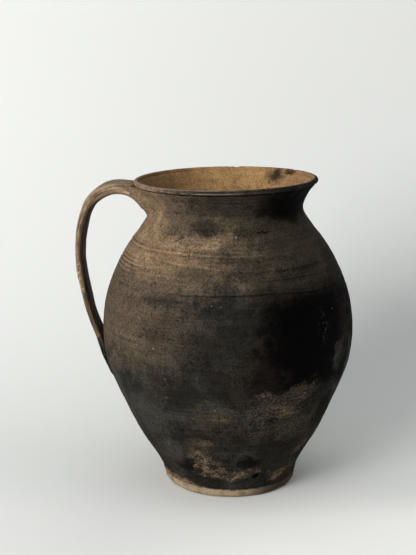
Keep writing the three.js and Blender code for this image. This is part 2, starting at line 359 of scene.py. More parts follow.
def scored_lines(bearing, height, reach):
    """1 in the middle of each line. Every line has its own height, width, depth and reach round the pot."""
    if not 180 < height < 224 or not on_outside(height, reach):
        return 0
    wobble = noise.noise(Vector((bearing / 30, 0, 7)))
    high_line = HIGH_LINE - 1.6 * fade(bearing, -36, 12) + 0.4 * wobble
    handle_side = fade(bearing, 34, 2) * fade(bearing, -150, -110)
    total = ridge(height - high_line + 1.5, 1.0) * handle_side
    total += ridge(height - high_line - 1.5, 0.9) * handle_side * 0.6
    total += ridge(height - high_line + 3.4, 0.8) * handle_side * 0.4
    climb = rising_line(bearing) + 0.5 * wobble
    front = fade(bearing, 75, 40) * fade(bearing, -60, -30)
    total += ridge(height - climb, 1.0) * front * 0.6
    comb_side = fade(bearing, -46, -60) * fade(bearing, -170, -130)
    for level, strength in COMB_GROOVES:
        total += ridge(height - level - 0.4 * wobble, 1) * comb_side * strength
    right = fade(bearing, 14, 22) * fade(bearing, 62, 46)
    total += ridge(height - 198.2 - 0.3 * wobble, 0.9) * right * 0.8
    total += ridge(height - 200.6, 0.8) * right * 0.5
    low_line = LOW_LINE - 3.2 * fade(bearing, 22, 50)
    long_front = fade(bearing, -44, -26) * fade(bearing, 110, 70)
    total += ridge(height - low_line, 1.0) * long_front
    total += ridge(height - low_line - 2.4, 0.8) * long_front * fade(bearing, 10, 30) * 0.6
    return total


def burrs(bearing, height, reach):
    """The tool pushes up a small burr of clay above each line."""
    return 0.9 * scored_lines(bearing, height - 1.3, reach)


press(wall, "scored_lines", depth=0.55, mark=scored_lines)
press(wall, "burrs", depth=-0.2, mark=burrs)


# %% Throwing rings, and chips in the lip
LIP_LOSSES = [(174, 3.2, 1), (179, 2, 0.6), (-168, 1.5, 0.4), (-28, 1.6, 0.35), (62, 2, 0.5),
              (128, 2.5, 0.5), (-60, 1.2, 0.3)]


def throwing_rings(bearing, height, reach):
    """Level rings, fine and broad, that drift a little up and down round the pot."""
    if height < 12 or height > 262 or not on_outside(height, reach):
        return 0
    drift = height + 1.2 * noise.noise(Vector((bearing / 25, height / 60, 3)))
    fine = noise.noise(Vector((0.3, 1.7, drift / 2.6)))
    broad = noise.noise(Vector((4.1, 0.2, drift / 9)))
    return kept(0.5 + 0.45 * fine + 0.6 * broad)


def chips(bearing, height, reach):
    """Small losses along the lip, the largest at the far side."""
    if height < LIP_HEIGHT - 2:
        return 0
    total = sum(ridge(bearing - place, width) * loss for place, width, loss in LIP_LOSSES)
    return total * fade(height, LIP_HEIGHT - 2, LIP_HEIGHT + 1)


press(wall, "throwing_rings", depth=0.32, mark=throwing_rings)
press(wall, "lip_chips", depth=0.7, mark=chips, direction="Z")

# %% [markdown]
# ## Drying out of true
#
# No thrown pot is perfectly round. A broad cloud texture moves the wall by up
# to half a millimetre, so that its outline and shading run unevenly. Then
# the whole wall leans by one degree, and its lower end is cut level where it
# stands on the foot.


# %% Unevenness and lean
def uneven(piece, name, size, depth):
    """Move the surface in and out by a cloud pattern of that size."""
    clouds = bpy.data.textures.new(name, "CLOUDS")
    clouds.noise_scale = size * MM
    clouds.noise_depth = 1
    displace = piece.modifiers.new(name, "DISPLACE")
    displace.texture = clouds
    displace.texture_coords = "LOCAL"
    displace.direction = "NORMAL"
    displace.mid_level = 0.75
    displace.strength = depth * MM
    finish_modifiers(piece)


def bisected(piece, point, normal, keep_above):
    """Cut the piece by a plane and keep one side, with the cut closed."""
    only(piece)
    edit()
    bpy.ops.mesh.bisect(plane_co=point, plane_no=normal, use_fill=True,
                        clear_inner=keep_above, clear_outer=not keep_above)
    leave()


def leaning(piece):
    piece.rotation_euler = (0, -LEAN, 0)
    set_place(piece)


FOOT_JOINT_GAP = 0.3
uneven(wall, "slow_waves", size=55, depth=0.5)
leaning(wall)
bisected(wall, (0, 0, (FOOT_HEIGHT + FOOT_JOINT_GAP) * MM), (0, 0, 1), keep_above=True)
print("the wall stands on the foot at", FOOT_HEIGHT + FOOT_JOINT_GAP, "mm")

# %% [markdown]
# ## Parting the wall at its joints
#
# The wall was raised in three lengths: the belly, the shoulder and the neck.
# The copies below are each cut at the joints, square to the leaning axis, so
# that they meet without a gap and can be handled as separate pieces.


# %% Belly, shoulder and neck
def copy_of(piece, name):
    only(piece)
    bpy.ops.object.duplicate()
    return named(name)


axis = Vector((-math.sin(LEAN), 0, math.cos(LEAN)))
shoulder_cut = axis * SHOULDER_JOINT * MM
neck_cut = axis * NECK_JOINT * MM
shoulder = copy_of(wall, "shoulder")
neck = copy_of(wall, "neck_and_lip")
belly = wall
belly.name = belly.data.name = "belly"
bisected(belly, shoulder_cut, axis, keep_above=False)
bisected(shoulder, shoulder_cut, axis, keep_above=True)
bisected(shoulder, neck_cut, axis, keep_above=False)
bisected(neck, neck_cut, axis, keep_above=True)
for piece in (belly, shoulder, neck):
    shade(piece)

# %% [markdown]
# ## The foot
#
# The jug stands on a flat pad of clay. Its edge is worn round, and grit and
# knocks have left it uneven, with a notch on the handle's side. It is turned
# from a short section like the wall, and then worn by a finer cloud pattern.


# %% Turn and wear the foot pad
FOOT_ROUNDING = 4
WORN_FROM, WORN_FULLY = 50, 56
NOTCH_BEARING = -84
foot_section = [(0, 0), (30, 0), (48, 0)]
foot_section += arc(FOOT_RADIUS, FOOT_ROUNDING, FOOT_ROUNDING, -90, 1, 10)
foot_section += [(FOOT_RADIUS, height) for height in steps(FOOT_ROUNDING + 0.7, FOOT_HEIGHT - 1, 0.7)]
foot_section.append((FOOT_RADIUS - 0.3, FOOT_HEIGHT - 0.3))
foot_section += [(reach, FOOT_HEIGHT) for reach in (FOOT_RADIUS - 1, 48, 30, 0)]
foot = turned(foot_section, "foot", WALL_SEGMENTS)


def foot_wear(bearing, height, reach):
    """Rough wear all round the edge, and one notch near its top."""
    if reach < WORN_FROM:
        return 0
    rough = noise.noise(Vector((bearing / 9, height / 3, 11)))
    notch = ridge(bearing - NOTCH_BEARING, 5) * fade(height, 3, 8)
    return min(max(0.25 + 0.5 * rough, 0) + notch, 1) * fade(reach, WORN_FROM, WORN_FULLY)


press(foot, "foot_wear", depth=0.9, mark=foot_wear)
shade(foot)

# %% [markdown]
# ## The handle's centre line
#
# The strap springs from just under the lip, arches out, hangs down clear of the
# belly and runs into it. A few points that the potter would feel by hand set
# its path, each measured from the wall beside it, and a smooth curve runs
# through them.

# %% Points of the centre line
ROOT_SINK = 13
ROOT_HEIGHT = LIP_HEIGHT - 8.6
WIDEST_REACH = max(radius for radius, height in STATIONS)
FALL_HEIGHT = ROOT_HEIGHT - 97.2
LANDING_HEIGHT = ROOT_HEIGHT - 131.2
TIP_HEIGHT = ROOT_HEIGHT - 159.2
TAIL_HEIGHT = (LANDING_HEIGHT + TIP_HEIGHT) / 2
STRAP_POINTS = [
    (reach_at(ROOT_HEIGHT) - ROOT_SINK, ROOT_HEIGHT - 1),
    (reach_at(ROOT_HEIGHT) + 0.3, ROOT_HEIGHT + 1.5),
    (LIP_RADIUS + 19.5, ROOT_HEIGHT + 3.5),
    (LIP_RADIUS + 38.3, ROOT_HEIGHT - 9.4),
    (WIDEST_REACH + 18.5, ROOT_HEIGHT - 48.2),
    (reach_at(FALL_HEIGHT) + 14.6, FALL_HEIGHT),
    (reach_at(LANDING_HEIGHT) + 3.1, LANDING_HEIGHT),
    (reach_at(TAIL_HEIGHT) + 0.95, TAIL_HEIGHT),
    (reach_at(TIP_HEIGHT) - 1.2, TIP_HEIGHT),
]


def through_points(points, count):
    """A smooth line through all points. Its knots are spaced by the root of each gap."""
    ends = [points[0]] + points + [points[-1]]
    ends[0] = (2 * points[0][0] - points[1][0], 2 * points[0][1] - points[1][1])
    ends[-1] = (2 * points[-1][0] - points[-2][0], 2 * points[-1][1] - points[-2][1])
    line = []
    for i in range(1, len(ends) - 2):
        a, b, c, d = (Vector(p) for p in ends[i - 1:i + 3])
        t0 = 0
        t1 = t0 + math.sqrt((b - a).length)
        t2 = t1 + math.sqrt((c - b).length)
        t3 = t2 + math.sqrt((d - c).length)
        for k in range(count):
            t = between(t1, t2, k / count)
            ab = a.lerp(b, (t - t0) / (t1 - t0))
            bc = b.lerp(c, (t - t1) / (t2 - t1))
            cd = c.lerp(d, (t - t2) / (t3 - t2))
            abc = ab.lerp(bc, (t - t0) / (t2 - t0))
            bcd = bc.lerp(cd, (t - t1) / (t3 - t1))
            line.append(abc.lerp(bcd, (t - t1) / (t2 - t1)))
    line.append(Vector(points[-1]))
    return line


centre_line = through_points(STRAP_POINTS, 40)
STRAP_LENGTH = sum((b - a).length for a, b in zip(centre_line, centre_line[1:]))
print("the strap is", round(STRAP_LENGTH, 1), "mm long")

# %% [markdown]
# ## Pulling the strap
#
# The potter pulls the strap straight from a lump of clay: thick and broad at
# the top, thin at the tail, with a shallow channel left by the thumb. Then it
# is bent and fixed, and clay is smeared over both ends. So the model starts as
# a straight bar along X too. A rounded section is extruded step by step, and
# each step is a little smaller than the last. Near the ends it swells into the
# smeared clay. Bending comes afterwards, with the Curve modifier.

# %% Width and thickness along the strap
ROOT_WIDTH, TAIL_WIDTH = 32, 23
ROOT_THICKNESS, TAIL_THICKNESS = 12.9, 6.2
UPPER_SMEAR = ROOT_SINK + 17
LOWER_SMEAR = 37
RUN_OUT = 10
CORNER_ROUNDING, CHANNEL_DEPTH, CHANNEL_REACH = 0.62, 0.2, 0.85


def strap_size(distance):
    """Half width, and thickness below and above the centre line, at a distance from the root.

    The strap is hollowed a little underneath, and stands a little proud above
    the arch and again from its middle down, before the smears swell its ends.
    """
    share = kept(distance / STRAP_LENGTH)
    taper = (1 - share) ** 1.3
    half_width = between(TAIL_WIDTH, ROOT_WIDTH, taper) / 2
    under = over = between(TAIL_THICKNESS, ROOT_THICKNESS, taper) / 2
    under -= 0.8 * fade(share, 0.04, 0.12) * fade(share, 0.86, 0.74)
    over += 0.9 * fade(share, 0.08, 0.16) * fade(share, 0.33, 0.27)
    over += 0.8 * fade(share, 0.50, 0.58)
    if distance < UPPER_SMEAR:
        near = 1 - distance / UPPER_SMEAR
        half_width += 17 * near ** 2
        under += 24 * near ** 2.7
        over += 2.4 * near ** 1.5
    into_tail = distance - (STRAP_LENGTH - LOWER_SMEAR)
    if into_tail > 0:
        spread = into_tail / (LOWER_SMEAR + RUN_OUT)
        half_width += 5.6 * spread ** 2
        under += 4 * spread ** 2
        over += 0.5 * spread - 3.4 * max(distance - STRAP_LENGTH, 0) / RUN_OUT
    return half_width, under, over


# %% Start the strap as a rounded section with a thumb channel
def strap_section(name):
    """A flat face across X, 2 m wide and high, for the extrusion to size down."""
    bpy.ops.mesh.primitive_plane_add(size=2, rotation=(0, math.pi / 2, 0))
    bpy.ops.object.transform_apply(rotation=True)
    piece = named(name)
    edit()
    bpy.ops.mesh.bevel(offset=CORNER_ROUNDING, segments=9, affect="VERTICES")
    leave()
    for edge in piece.data.edges:
        a, b = (piece.data.vertices[i].co for i in edge.vertices)
        edge.select = (a - b).length > 0.5
    edit(everything=False)
    bpy.ops.mesh.select_mode(type="EDGE")
    bpy.ops.mesh.subdivide(number_cuts=7)
    leave()
    top = max(piece.data.vertices, key=lambda v: v.co.z - abs(v.co.y))
    for vertex in piece.data.vertices:
        vertex.select = vertex == top
    edit(everything=False)
    bpy.ops.mesh.select_mode(type="VERT")
    bpy.ops.transform.translate(value=(0, 0, -CHANNEL_DEPTH), use_proportional_edit=True,
                                proportional_edit_falloff="SMOOTH", proportional_size=CHANNEL_REACH)
    leave()
    return piece


handle = strap_section("handle")
print("strap section:", len(handle.data.vertices), "points")


# %% Extrude it along X, each step sized anew
def pull_strap(piece, length, spacing):
    """Extrude the section to that length, in steps of that spacing."""
    only(piece)
    edit()
    count = round(length / spacing)
    x, middle, half_width, thickness = 0, 0, 1 / MM, 2 / MM
    for i in range(count + 1):
        new_x = length * i / count
        new_width, under, over = strap_size(new_x)
        new_middle, new_thickness = (over - under) / 2, under + over
        move = Vector((new_x - x, 0, new_middle - middle)) * MM
        if i == 0:
            bpy.ops.transform.translate(value=move)
        else:
            bpy.ops.mesh.extrude_region_move(TRANSFORM_OT_translate={"value": move})
        bpy.ops.transform.resize(
            value=(1, new_width / half_width, new_thickness / thickness),
            center_override=(new_x * MM, 0, new_middle * MM))
        x, middle, half_width, thickness = new_x, new_middle, new_width, new_thickness
    bpy.ops.mesh.select_all(action="SELECT")
    bpy.ops.mesh.normals_make_consistent(inside=False)
    leave()


pull_strap(handle, length=STRAP_LENGTH + RUN_OUT, spacing=1.6)
print("straight strap:", len(handle.data.polygons), "faces")

# %% [markdown]
# ## Marks of the pulling hand
#
# A wet hand leaves long low ridges that run with the strap. They are pressed
# in while the strap is straight, where "along" is simply X. Each face corner
# also keeps its straight place in two UV maps, so that the clay's streaks can
# follow the bend later.


# %% Long ridges, and UV maps that remember the straight strap
def pulling_ridges(along, across, through):
    """Fine and broad ridges, drawn out along the strap."""
    fine = noise.noise(Vector((along / 45, across / 1.3, through / 5)))
    broad = noise.noise(Vector((along / 70, across / 3.4, 5 + through / 6)))
    return kept(0.5 + 0.45 * fine + 0.5 * broad)


def straight_place(co):
    return co.x / MM, co.y / MM, co.z / MM


press(handle, "pulling_ridges", depth=0.5, mark=pulling_ridges, place=straight_place)
handle.data.uv_layers.remove(handle.data.uv_layers[0])
along_across = handle.data.uv_layers.new(name="along_across")
along_through = handle.data.uv_layers.new(name="along_through")
for loop in handle.data.loops:
    straight = handle.data.vertices[loop.vertex_index].co
    along_across.data[loop.index].uv = (straight.x, straight.y)
    along_through.data[loop.index].uv = (straight.x, straight.z)

# %% [markdown]
# ## Bending the strap, and smearing its ends
#
# The Curve modifier lays the straight strap along a path, as the potter bends
# it from lip to belly. Its twist is set to the least, because the usual upright
# one turns the strap over where the path runs straight down. Then the clay that
# stands proud of the wall is pressed down beside and below the strap, to the
# hollow curve that a thumb leaves.


# %% Bend it along the centre line
def path_curve(line):
    """The handle's path, run on a little past the tail."""
    bpy.ops.curve.primitive_bezier_curve_add()
    curve = named("handle_path")
    curve.data.splines.clear()
    spline = curve.data.splines.new("POLY")
    ahead = (line[-1] - line[-2]).normalized()
    points = line + [line[-1] + ahead * step for step in (RUN_OUT / 2, RUN_OUT + 2)]
    spline.points.add(len(points) - 1)
    for point, (reach, height) in zip(spline.points, points):
        point.co = (-reach * MM, 0, height * MM, 1)
    curve.data.dimensions = "3D"
    curve.data.twist_mode = "MINIMUM"
    return curve


path = path_curve(centre_line)
bend = handle.modifiers.new("bend", "CURVE")
bend.object = path
bend.deform_axis = "POS_X"
finish_modifiers(handle)
bpy.data.objects.remove(path)
print("the bent strap reaches", round(-min(vertex.co.x for vertex in handle.data.vertices) / MM), "mm out")


# %% Smear the clay at both ends down to a hollow curve
def hollow_curve(share, height):
    """Clay left standing at a share of the smear's reach, hollow, and under the skin at its end."""
    share = min(share, 1)
    return height * (1 - share) ** 1.5 - 0.9 * share ** 4


HANDLE_STANDS_CLEAR = 18


def smear(piece, low, high, half_width, sideways, above, below, down, height):
    """Press down what stands proud of the wall between two heights, outside the strap's section.

    The section is half_width wide on either side and reaches down to below. The
    smear runs out sideways and down from it, and fades out under above.
    """
    moved = 0
    for vertex in piece.data.vertices:
        x, y, z = vertex.co / MM
        if not (low < z < high and x < 0):
            continue
        to_side = max(abs(y) - half_width, 0) / sideways
        to_below = max(below - z, 0) / down
        share = math.hypot(to_side, to_below) * fade(z, above, above - 4)
        reach = math.hypot(x, y)
        allowed = reach_at(z) + hollow_curve(share, height)
        if share > 0 and allowed < reach < reach_at(z) + HANDLE_STANDS_CLEAR:
            vertex.co.x *= allowed / reach
            vertex.co.y *= allowed / reach
            moved += 1
    print("smeared", moved, "points")


smear(handle, low=215, high=268, half_width=16.3, sideways=13, above=275, below=252, down=16, height=14)
uneven(handle, "handled_clay", size=13, depth=0.7)

# %% [markdown]
# ## Fixing the strap to the pot
#
# The smeared clay grows out of the wall, and nothing of it shows inside. A
# filled pot, a little smaller than the real one, is cut out of the handle, so
# that both ends finish just under the wall's skin. Then the handle is parted
# into the strap and the two wads of luting clay at its ends.


# %% Cut the handle to the wall
def filled_pot(sunk):
    """A solid pot whose skin lies that deep in the wall, run on above the lip."""
    top = LIP_HEIGHT + 9
    outline = [(0, 20)] + [wall_point(height, sunk) for height in steps(20, LIP_HEIGHT, 3)]
    return turned(outline + [(LIP_RADIUS - sunk, top), (0, top)], "filled_pot", 144)


pot = filled_pot(sunk=1.5)
cut = handle.modifiers.new("to_the_wall", "BOOLEAN")
cut.operation = "DIFFERENCE"
cut.solver = "MANIFOLD"
cut.object = pot
finish_modifiers(handle)
bpy.data.objects.remove(pot)
print("handle after the cut:", len(handle.data.polygons), "faces")


# %% Part it into the strap and its two wads of luting
UPPER_PART_IN, LOWER_PART_IN = 8, 3


def place_on_path(distance):
    """Point and direction of the centre line at a distance from the root."""
    gone = 0
    for a, b in zip(centre_line, centre_line[1:]):
        if gone + (b - a).length > distance:
            here = a.lerp(b, (distance - gone) / (b - a).length)
            ahead = (b - a).normalized()
            return Vector((-here.x, 0, here.y)) * MM, Vector((-ahead.x, 0, ahead.y))
        gone += (b - a).length


upper_spot, upper_ahead = place_on_path(UPPER_SMEAR - UPPER_PART_IN)
lower_spot, lower_ahead = place_on_path(STRAP_LENGTH - LOWER_SMEAR + LOWER_PART_IN)
upper_luting = copy_of(handle, "upper_luting")
lower_luting = copy_of(handle, "lower_luting")
strap = handle
strap.name = strap.data.name = "strap"
bisected(upper_luting, upper_spot, upper_ahead, keep_above=False)
bisected(lower_luting, lower_spot, lower_ahead, keep_above=True)
bisected(strap, upper_spot, upper_ahead, keep_above=True)
bisected(strap, lower_spot, lower_ahead, keep_above=False)
for piece in (strap, upper_luting, lower_luting):
    leaning(piece)
    shade(piece)

# %% [markdown]
# ## What each piece stands for
#
# Each piece takes the place of one plain solid and moves with the whole pot.

# %% Hide each plain solid, and hang its piece on the pot's root
for piece, node, finish in (
        (foot, "base_disc", "bare_clay"), (belly, "belly_wall", "smoked_clay"),
        (shoulder, "shoulder_wall", "shoulder_clay"), (neck, "neck_and_rim", "neck_clay"),
        (strap, "handle_strap", "handle_clay"), (upper_luting, "upper_handle_luting", "handle_clay"),
        (lower_luting, "lower_handle_luting", "smoked_clay")):
    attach(piece, "root")
    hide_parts(node)
    print(piece.name, "stands for", node)

# %% [markdown]
# ## Colour from the fire
#
# The clay fires tan where flame and air reach it, and turns brown, charcoal or
# black where smoke settles. So every finish here is built the same way: a
# ground of cloudy clay, then layers of smoke, ash and bare clay painted over it
# through ragged masks, as the fire laid them, with painted shade, sheen and
# highlight among them. Nodes are chosen over a painted picture, because they
# stay sharp at any distance and have no seam. The helpers below add their nodes
# to the finish that was started last, the one in hand.


# %% Start a finish, and add nodes to it
def new_finish(name):
    """Start a finish and take it in hand."""
    global in_hand
    in_hand = bpy.data.materials.new(name)
    in_hand.use_nodes = True
    return in_hand


def node(kind, inputs=None, **settings):
    """Add a shader node. An input may be a number, a colour or another node's socket."""
    made = in_hand.node_tree.nodes.new("ShaderNode" + kind)
    for key, value in settings.items():
        setattr(made, key, value)
    for key, value in (inputs or {}).items():
        if isinstance(value, bpy.types.NodeSocket):
            in_hand.node_tree.links.new(value, made.inputs[key])
        else:
            made.inputs[key].default_value = value
    return made


def tell(step):
    """Print how many nodes the finish in hand has after a step."""
    print(step + ":", len(in_hand.node_tree.nodes), "nodes")


def maths(operation, first, others):
    """Join values one after the other by a sum, a product or the like."""
    for other in others:
        first = node("Math", {0: first, 1: other}, operation=operation).outputs[0]
    return first


def times(first, *others):
    return maths("MULTIPLY", first, others)


def plus(first, *others):
    return maths("ADD", first, others)


def most(first, *others):
    return maths("MAXIMUM", first, others)


def soft_step(value, start, end, ease="SMOOTHSTEP", low=0, high=1):
    """low at start, high at end, smooth between. Start and end may be either way round."""
    made = node("MapRange", {"Value": value, "From Min": start, "From Max": end,
                             "To Min": low, "To Max": high}, interpolation_type=ease)
    return made.outputs["Result"]


def sides_of(place):
    """The X, Y and Z of a place."""
    return node("SeparateXYZ", {"Vector": place}).outputs


def cloud(place, size, detail=3):
    """Cloudy noise from 0 to 1 with features of that many millimetres."""
    made = node("TexNoise", {"Vector": place, "Scale": 1 / (size * MM), "Detail": detail,
                             "Roughness": 0.58})
    return made.outputs["Fac"]


def brightened(colour, amount):
    return node("VectorMath", {0: colour, "Scale": amount}, operation="SCALE").outputs[0]


# %% [markdown]
# ## Masks with torn edges
#
# Smoke has no clean edge. So a mask is torn twice: the place that it is read at
# is shifted by noise, and a coarse grit eats into its thin edge. Only then does
# it mix a colour in.


# %% Spots, tears and grit
def ragged(place, size, amount):
    """Shift the place by noise, so that the edge of a mask on it is torn."""
    drift = node("TexNoise", {"Vector": place, "Scale": 1 / (size * MM), "Detail": 5,
                              "Roughness": 0.62}).outputs["Color"]
    centred = node("VectorMath", {0: drift, 1: (0.5, 0.5, 0.5)}, operation="SUBTRACT")
    reach = (2 * amount * MM,) * 3
    moved = node("VectorMath", {0: centred.outputs[0], 1: reach, 2: place}, operation="MULTIPLY_ADD")
    return moved.outputs[0]


SPOT_DEPTH = 40


def spot(place, bearing, height, across, up, tilt=0, soft=1):
    """1 at a spot on the wall, 0 outside its half sizes. Tilt turns it clockwise."""
    turn = math.radians(bearing)
    reach = reach_at(height) * MM
    local = node("Mapping", {
        "Vector": place,
        "Location": (reach * math.sin(turn), -reach * math.cos(turn), height * MM),
        "Rotation": (0, math.radians(tilt), turn),
        "Scale": (across * MM, SPOT_DEPTH * MM, up * MM)}, vector_type="TEXTURE")
    ball = node("TexGradient", {"Vector": local.outputs["Vector"]}, gradient_type="SPHERICAL")
    return soft_step(ball.outputs["Fac"], 0, soft)


def spots(place, *all_numbers):
    """One mask of several spots."""
    return most(*[spot(place, *numbers) for numbers in all_numbers])


def grit(place, coarse, fine):
    """Strong mottling from 0 to 1, of two feature sizes."""
    large = soft_step(cloud(place, coarse, 5), 0.32, 0.68)
    small = soft_step(cloud(place, fine, 3), 0.30, 0.70)
    return plus(times(large, 0.72), times(small, 0.28))


def bitten(mask, bite):
    """Let the flecks of the finish in hand eat into a mask, most at its thin edge."""
    eaten = times(plus(flecks, -0.55), bite)
    left = soft_step(plus(mask, eaten), 0.02, 0.95)
    return times(left, soft_step(mask, 0.0, 0.3))


# %% [markdown]
# ## Colours of the clay
#
# Most are the clay's own colours, without the light on them: how much red,
# green and blue it reflects. A few also stand for painted shade, sheen and
# highlight. Soot reflects almost nothing. A coat lays one of them over the skin
# that is there, as thick as its masks say.


# %% The palette, and a coat of it
def colour(red, green, blue):
    return (red, green, blue, 1)


SOOT_AND_SHADE = colour(0.0012, 0.0011, 0.0012)
CHARCOAL = colour(0.0125, 0.0120, 0.0100)
GREY_SMOKE_AND_SHEEN = colour(0.033, 0.0315, 0.027)
DARK_BROWN = colour(0.030, 0.0235, 0.017)
OLIVE_BROWN = colour(0.038, 0.031, 0.021)
RED_BROWN = colour(0.0165, 0.0118, 0.009)
BROWN = colour(0.082, 0.061, 0.042)
TAN = colour(0.165, 0.110, 0.066)
PALE_TAN = colour(0.26, 0.185, 0.115)
ASH = colour(0.15, 0.135, 0.105)
LIP_HIGHLIGHT = colour(0.19, 0.155, 0.12)
INSIDE_TAN = colour(0.30, 0.178, 0.076)
INSIDE_RED = colour(0.20, 0.115, 0.062)
INSIDE_BROWN = colour(0.15, 0.084, 0.040)
INSIDE_CHAR = colour(0.020, 0.015, 0.012)
BARE_PALE = colour(0.29, 0.222, 0.148)
BARE_BROWN = colour(0.12, 0.088, 0.058)
BARE_DARK = colour(0.024, 0.017, 0.012)
STRAP_TAN = colour(0.21, 0.14, 0.084)
STRAP_RIDGE = colour(0.30, 0.215, 0.14)
STRAP_PEELED = colour(0.36, 0.28, 0.19)
STRAP_EDGE = colour(0.10, 0.068, 0.042)
STRAP_GROOVE = colour(0.050, 0.032, 0.020)
STRAP_INNER_SOOT_AND_SHADE = colour(0.042, 0.023, 0.014)
STRAP_UNDER_SHADE = colour(0.012, 0.007, 0.005)


def paint(under, over, amount):
    """Lay a colour over what is under it, as far as amount says."""
    return node("Mix", {0: amount, 6: under, 7: over}, data_type="RGBA").outputs[2]


def coat(over, *amounts):
    """Lay a colour over the skin, as far as all the amounts together say."""
    global skin
    skin = paint(skin, over, times(*amounts))


# %% [markdown]
# ## The smoked wall
#
# Smoke lay thickest on the right of the belly, and that side, away from the
# light, is painted darker still as shade. The shoulder on the handle's side
# stayed tan, flakes have fallen low on the right, and the mouth is bright tan
# inside, where the fire was clean. The wall's three lengths share one finish,
# because the smoke took no notice of the joints. Its ground is charcoal with
# grey and brown clouds, read upright although the pot leans.

# %% Ground: charcoal clouds
smoked = new_finish("smoked_clay")
object_place = node("TexCoord").outputs["Object"]
upright = node("Mapping", {"Vector": object_place, "Rotation": (0, -LEAN, 0)}, vector_type="TEXTURE")
place = upright.outputs["Vector"]
torn = ragged(place, size=22, amount=12)
frayed = ragged(place, size=6, amount=4)
side, _, level = sides_of(torn)
exact_level = sides_of(place)["Z"]
grain = cloud(place, 2.4, 4)
mottle = cloud(place, 9, 5)
flecks = grit(place, 8, 2.2)
skin = paint(CHARCOAL, GREY_SMOKE_AND_SHEEN, soft_step(cloud(place, 26, 5), 0.46, 0.72))
coat(DARK_BROWN, soft_step(cloud(place, 38, 4), 0.50, 0.66), 0.6)
tell("smoked ground")

# %% [markdown]
# ## Broad layers
#
# The fire coloured the pot in wide soft fields first: brown and tan towards the
# handle, olive brown on the right shoulder. Each field is a band between two
# heights, and most also fade from one side of the pot to the other.


# %% Bands of brown and tan
def band(low, low_full, high_full, high):
    """1 between two heights in millimetres, with soft ends."""
    up = soft_step(level, low * MM, low_full * MM)
    return times(up, soft_step(level, high * MM, high_full * MM))


def towards(start, end):
    """0 at one distance to the right of the axis, 1 at the other."""
    return soft_step(side, start * MM, end * MM)


def spread(over, mask, bite=0.8, strength=1.0):
    """Coat the skin through a broad mask with a gritty edge."""
    coat(over, bitten(mask, bite), strength)


spread(DARK_BROWN, band(165, 205, 262, 275), strength=0.7)
spread(OLIVE_BROWN, band(186, 205, 238, 252), strength=0.8)
spread(BROWN, times(band(100, 160, 262, 275), towards(12, -74)), bite=0.5, strength=0.85)
spread(BROWN, times(band(172, 206, 240, 250), towards(34, -30)), bite=0.6, strength=0.85)
spread(TAN, times(band(190, 214, 226, 240), towards(20, -50)), bite=0.5, strength=0.95)
spread(BROWN, times(band(224, 234, 280, 290), towards(-18, -50)), bite=0.6, strength=0.75)
spread(TAN, times(band(224, 234, 280, 290), towards(-38, -62)), bite=0.5, strength=0.9)
tell("broad layers")

# %% [markdown]
# ## Single spots of smoke and bare clay
#
# Over the fields lie single clouds: soot on the right, deepened by painted
# shade on the side and contour away from the light, a painted grey sheen low on
# the left and along the right edge, brown and tan where the skin has flaked
# off, and a few cracks and pale specks, one crack with a painted shadow beside
# it. Each is a soft ball, squashed to its size and set on the wall by its
# bearing and height. They are listed in the order in which they cover each
# other.


# %% From the lip down to the belly
def lay(over, *numbers, bite=0.9, strength=1.0, on=None):
    """Coat the skin over spots: (bearing, height, half across, half up, tilt, softness)."""
    spread(over, spots(on or torn, *numbers), bite, strength)


lay(PALE_TAN, (-54, 240, 10, 15, 8), (-30, 222, 22, 6), (-8, 225, 22, 7), (-46, 213, 9, 6),
    (-66, 226, 16, 10), strength=0.55)
lay(BROWN, (8, 197, 14, 9), (25, 205, 10, 8), (10, 222, 34, 12), strength=0.7)
lay(CHARCOAL, (-14, 238, 24, 8, 10, 0.9), (-30, 181, 40, 9, 4),
    (8, 175, 60, 16), (-4, 148, 66, 34), bite=0.5, strength=0.75)
lay(TAN, (-9, 230, 34, 6), (-50, 236, 13, 9), bite=0.5, strength=0.7)
lay(OLIVE_BROWN, (-16, 206, 32, 12), bite=0.6, strength=0.7)
lay(DARK_BROWN, (-31, 156, 26, 28), (-25, 166, 18, 14), bite=0.6, strength=0.75)
lay(CHARCOAL, (40, 203, 46, 13), bite=0.6, strength=0.7)
# Painted shade over real soot: the right of the belly and of the neck, away from the light, is painted near
# black.
spread(SOOT_AND_SHADE, times(band(92, 120, 170, 207), towards(-6, 54)), bite=0.3)
spread(SOOT_AND_SHADE, times(band(232, 246, 262, 272), towards(8, 56)), bite=0.3, strength=0.9)
lay(SOOT_AND_SHADE, (50, 150, 40, 46, 12, 0.9), (28, 126, 40, 18, 14, 0.9), (64, 130, 40, 50, 0, 0.7),
    bite=0.4, strength=0.85)
# Painted shade over real soot along the right contour, here and in the charcoal at the shoulder below.
lay(SOOT_AND_SHADE, (48, 253, 36, 15, -6), (84, 258, 40, 20, 0, 0.8), (118, 160, 70, 60, 0, 0.7), bite=0.3)
lay(CHARCOAL, (80, 206, 34, 30), bite=0.4, strength=0.8)
lay(SOOT_AND_SHADE, (26.9, 231, 9, 1.7, -4, 0.6), (-30, 32, 22, 13), (16, 38, 20, 8), (60, 78, 24, 30),
    bite=0.6, strength=0.75)
lay(RED_BROWN, (12, 124, 50, 20, 8, 0.8), (66, 150, 20, 50), (-5, 70, 40, 30), (70, 196, 20, 26),
    (-28, 120, 24, 26), bite=0.5, strength=0.5)

